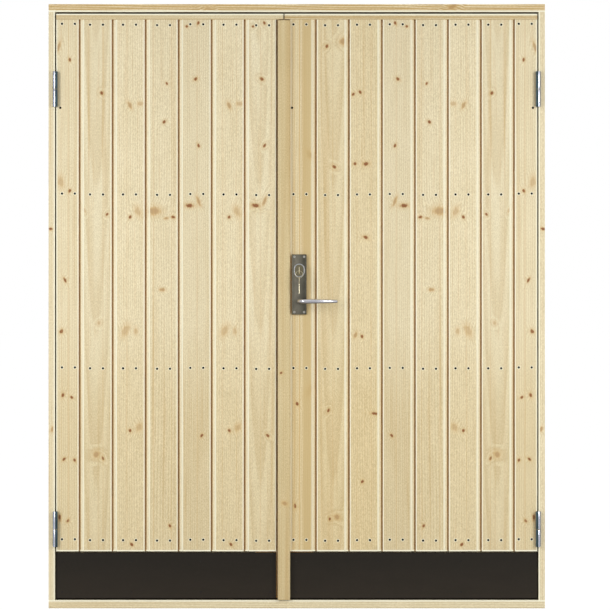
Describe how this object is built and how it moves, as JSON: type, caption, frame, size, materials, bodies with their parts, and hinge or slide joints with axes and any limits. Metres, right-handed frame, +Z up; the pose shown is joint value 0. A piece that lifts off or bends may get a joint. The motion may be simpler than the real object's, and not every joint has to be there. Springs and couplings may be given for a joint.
{
  "type": "double shed door",
  "caption": "Double shed door of vertical tongued and grooved boards in its rebated frame, with lift-off hinges, kick panels, a meeting strip and a lever lock set.",
  "frame": {"origin": "the middle of the sill's underside, halfway through the frame's depth", "axes": "+Z up; +X to the right as seen from outside; +Y into the shed, so the outside faces -Y"},
  "size_m": [1.69, 0.181, 2.057],
  "materials": {
    "frame_pine": "planed, oiled",
    "leaf_pine": "planed, oiled",
    "board_pine": "planed, oiled",
    "plywood": "dark smooth film",
    "galvanised_steel": "galvanised",
    "satin_steel": "satin",
    "lock_steel": "plain",
    "nickel_brass": "nickel-plated, satin",
    "key_nickel": "nickel-plated"
  },
  "bodies": {
    "frame": {"frame_head": "frame_pine", "frame_sill": "frame_pine", "frame_left_jamb": "frame_pine", "frame_right_jamb": "frame_pine", "frame_hinge_halves": "galvanised_steel", "hinge_washers": "galvanised_steel", "bolt_keepers": "galvanised_steel"},
    "leaf_left": {"left_hinge_stile": "leaf_pine", "left_meeting_stile": "leaf_pine", "left_top_rail": "leaf_pine", "left_mid_rails": "leaf_pine", "left_bottom_rail": "leaf_pine", "left_board_1": "board_pine", "left_board_2": "board_pine", "left_board_3": "board_pine", "left_board_4": "board_pine", "left_board_5": "board_pine", "left_board_6": "board_pine", "left_board_7": "board_pine", "left_kick_panel": "plywood", "left_hinge_halves": "galvanised_steel", "strike_plate": "galvanised_steel", "bolt_housings": "galvanised_steel"},
    "leaf_right": {"right_hinge_stile": "leaf_pine", "right_lock_stile": "leaf_pine", "right_top_rail": "leaf_pine", "right_mid_rails": "leaf_pine", "right_bottom_rail": "leaf_pine", "right_board_1": "board_pine", "right_board_2": "board_pine", "right_board_3": "board_pine", "right_board_4": "board_pine", "right_board_5": "board_pine", "right_board_6": "board_pine", "right_board_7": "board_pine", "right_board_8": "board_pine", "right_kick_panel": "plywood", "overlap_strip": "leaf_pine", "right_hinge_halves": "galvanised_steel", "lock_case": "lock_steel", "outside_plate": "satin_steel", "inside_plate": "satin_steel", "cylinder_housing": "nickel_brass", "cylinder_ring": "satin_steel"},
    "top_bolt": {"top_bolt": "galvanised_steel"},
    "bottom_bolt": {"bottom_bolt": "galvanised_steel"},
    "lever": {"outside_lever": "satin_steel", "inside_lever": "satin_steel", "lever_spindle": "lock_steel"},
    "latch_bolt": {"latch_bolt": "lock_steel"},
    "key_turn": {"cylinder_plug": "nickel_brass", "inserted_key": "key_nickel", "key_loop": "key_nickel", "spare_key": "key_nickel", "thumb_turn": "satin_steel"},
    "dead_bolt": {"dead_bolt": "lock_steel"}
  },
  "joints": [
    {"name": "left_leaf_swing", "type": "hinge", "parent": "frame", "child": "leaf_left", "pos_m": [-0.821, -0.0565, 0], "axis": [0, 0, -1], "range_deg": [0, 165]},
    {"name": "right_leaf_swing", "type": "hinge", "parent": "frame", "child": "leaf_right", "pos_m": [0.821, -0.0565, 0], "axis": [0, 0, 1], "range_deg": [0, 165]},
    {"name": "lever_turn", "type": "hinge", "parent": "leaf_right", "child": "lever", "pos_m": [0.0085, 0, 1.045], "axis": [0, 1, 0], "range_deg": [0, 45], "stiffness_Nm_per_rad": 0.6, "springref_deg": -11.46},
    {"name": "latch_slide", "type": "slide", "parent": "leaf_right", "child": "latch_bolt", "axis": [1, 0, 0], "range_m": [0, 0.011]},
    {"name": "key_turn", "type": "hinge", "parent": "leaf_right", "child": "key_turn", "pos_m": [0.0085, 0, 1.15], "axis": [0, 1, 0], "range_deg": [0, 90]},
    {"name": "dead_bolt_slide", "type": "slide", "parent": "leaf_right", "child": "dead_bolt", "axis": [-1, 0, 0], "range_m": [0, 0.02]},
    {"name": "top_bolt_slide", "type": "slide", "parent": "leaf_left", "child": "top_bolt", "axis": [0, 0, 1], "range_m": [0, 0.025]},
    {"name": "bottom_bolt_slide", "type": "slide", "parent": "leaf_left", "child": "bottom_bolt", "axis": [0, 0, -1], "range_m": [0, 0.025]}
  ],
  "couplings": [
    {"joint": "latch_slide", "follows": "lever_turn", "m_per_rad": 0.014},
    {"joint": "dead_bolt_slide", "follows": "key_turn", "m_per_rad": 0.01273}
  ]
}
